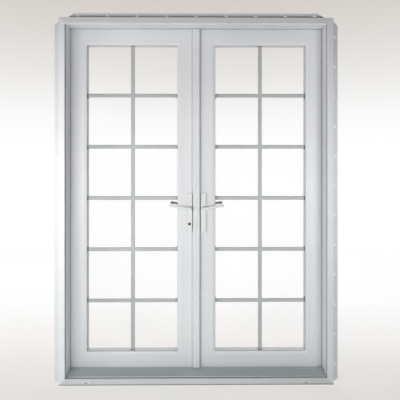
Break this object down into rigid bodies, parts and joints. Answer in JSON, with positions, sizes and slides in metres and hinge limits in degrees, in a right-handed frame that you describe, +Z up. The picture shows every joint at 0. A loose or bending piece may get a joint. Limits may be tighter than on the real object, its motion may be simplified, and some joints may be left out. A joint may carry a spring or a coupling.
{
  "type": "inswing double door",
  "caption": "Inswing double door in a white vinyl frame with a nailing fin: glazed leaves with bars between the panes, lever handles, a key lock, shoot bolts and a metal sill.",
  "frame": {"origin": "middle of the sill's underside, in the plane of the nailing fin's back face", "axes": "+X to the right seen from outside, +Y to the inside of the building, +Z up"},
  "size_m": [1.5752, 0.221, 2.0513],
  "materials": {
    "white_vinyl": "satin white vinyl",
    "sill_aluminium": "satin anodised",
    "clear_glass": "clear float glass",
    "spacer_metal": "dull grey",
    "bar_paint": "satin grey paint",
    "white_enamel": "gloss white enamel",
    "satin_pewter": "satin pewter",
    "plain_steel": "zinc plated",
    "dark_brass": "dull brass",
    "grey_seal": "matt grey"
  },
  "bodies": {
    "frame": {"frame_head": "white_vinyl", "frame_sill": "white_vinyl", "frame_jamb_left": "white_vinyl", "frame_jamb_right": "white_vinyl", "threshold": "sill_aluminium", "frame_seal": "grey_seal", "weep_covers": "white_vinyl", "head_keeper": "plain_steel", "sill_keeper": "plain_steel", "left_hinge_frame_plates": "white_enamel", "right_hinge_frame_plates": "white_enamel", "hinge_pins": "plain_steel"},
    "left_leaf": {"left_hinge_stile": "white_vinyl", "left_top_rail": "white_vinyl", "left_bottom_rail": "white_vinyl", "left_glass_outer": "clear_glass", "left_glass_inner": "clear_glass", "left_spacer": "spacer_metal", "left_grille": "bar_paint", "left_glazing_beads": "white_vinyl", "left_setting_blocks": "grey_seal", "left_hinge_leaf_plates": "white_enamel", "left_escutcheon_outside": "white_enamel", "left_escutcheon_inside": "satin_pewter", "left_sweep": "grey_seal", "left_lock_stile": "white_vinyl", "left_lock_case": "plain_steel", "left_lock_faceplate": "plain_steel", "left_key_cylinder": "dark_brass"},
    "left_lever": {"left_lever_outside": "white_enamel", "left_lever_inside": "satin_pewter", "left_spindle": "plain_steel"},
    "left_latch": {"left_latch": "plain_steel"},
    "left_deadbolt": {"left_deadbolt": "plain_steel"},
    "left_thumbturn": {"left_thumbturn": "satin_pewter"},
    "right_leaf": {"right_hinge_stile": "white_vinyl", "right_top_rail": "white_vinyl", "right_bottom_rail": "white_vinyl", "right_glass_outer": "clear_glass", "right_glass_inner": "clear_glass", "right_spacer": "spacer_metal", "right_grille": "bar_paint", "right_glazing_beads": "white_vinyl", "right_setting_blocks": "grey_seal", "right_hinge_leaf_plates": "white_enamel", "right_escutcheon_outside": "white_enamel", "right_escutcheon_inside": "satin_pewter", "right_sweep": "grey_seal", "right_meeting_stile": "white_vinyl", "right_gear_case": "plain_steel", "meeting_strip": "white_vinyl", "strip_seal": "grey_seal", "strike_plate": "plain_steel"},
    "right_lever": {"right_lever_outside": "white_enamel", "right_lever_inside": "satin_pewter", "right_spindle": "plain_steel"},
    "right_top_bolt": {"right_top_shoot_bolt": "plain_steel"},
    "right_bottom_bolt": {"right_bottom_shoot_bolt": "plain_steel"}
  },
  "joints": [
    {"name": "left_leaf_swing", "type": "hinge", "parent": "frame", "child": "left_leaf", "pos_m": [-0.73865, 0.1389, 0], "axis": [0, 0, 1], "range_deg": [0, 110]},
    {"name": "right_leaf_swing", "type": "hinge", "parent": "frame", "child": "right_leaf", "pos_m": [0.73865, 0.1389, 0], "axis": [0, 0, -1], "range_deg": [0, 110]},
    {"name": "left_lever_turn", "type": "hinge", "parent": "left_leaf", "child": "left_lever", "pos_m": [-0.0396, 0.10322, 0.96], "axis": [0, -1, 0], "range_deg": [0, 40], "stiffness_Nm_per_rad": 1.5, "springref_deg": -28.65},
    {"name": "latch_slide", "type": "slide", "parent": "left_leaf", "child": "left_latch", "axis": [-1, 0, 0], "range_m": [0, 0.012]},
    {"name": "thumbturn_turn", "type": "hinge", "parent": "left_leaf", "child": "left_thumbturn", "pos_m": [-0.0396, 0.1428, 0.868], "axis": [0, 1, 0], "range_deg": [0, 90]},
    {"name": "deadbolt_slide", "type": "slide", "parent": "left_leaf", "child": "left_deadbolt", "axis": [1, 0, 0], "range_m": [0, 0.014]},
    {"name": "right_lever_turn", "type": "hinge", "parent": "right_leaf", "child": "right_lever", "pos_m": [0.0396, 0.10322, 0.96], "axis": [0, -1, 0], "range_deg": [0, 45]},
    {"name": "top_bolt_slide", "type": "slide", "parent": "right_leaf", "child": "right_top_bolt", "axis": [0, 0, 1], "range_m": [0, 0.016]},
    {"name": "bottom_bolt_slide", "type": "slide", "parent": "right_leaf", "child": "right_bottom_bolt", "axis": [0, 0, -1], "range_m": [0, 0.016]}
  ],
  "couplings": [
    {"joint": "latch_slide", "follows": "left_lever_turn", "m_per_rad": 0.01718},
    {"joint": "thumbturn_turn", "follows": "deadbolt_slide", "rad_per_m": 112.2},
    {"joint": "top_bolt_slide", "follows": "right_lever_turn", "m_per_rad": 0.02037},
    {"joint": "bottom_bolt_slide", "follows": "right_lever_turn", "m_per_rad": 0.02037}
  ]
}
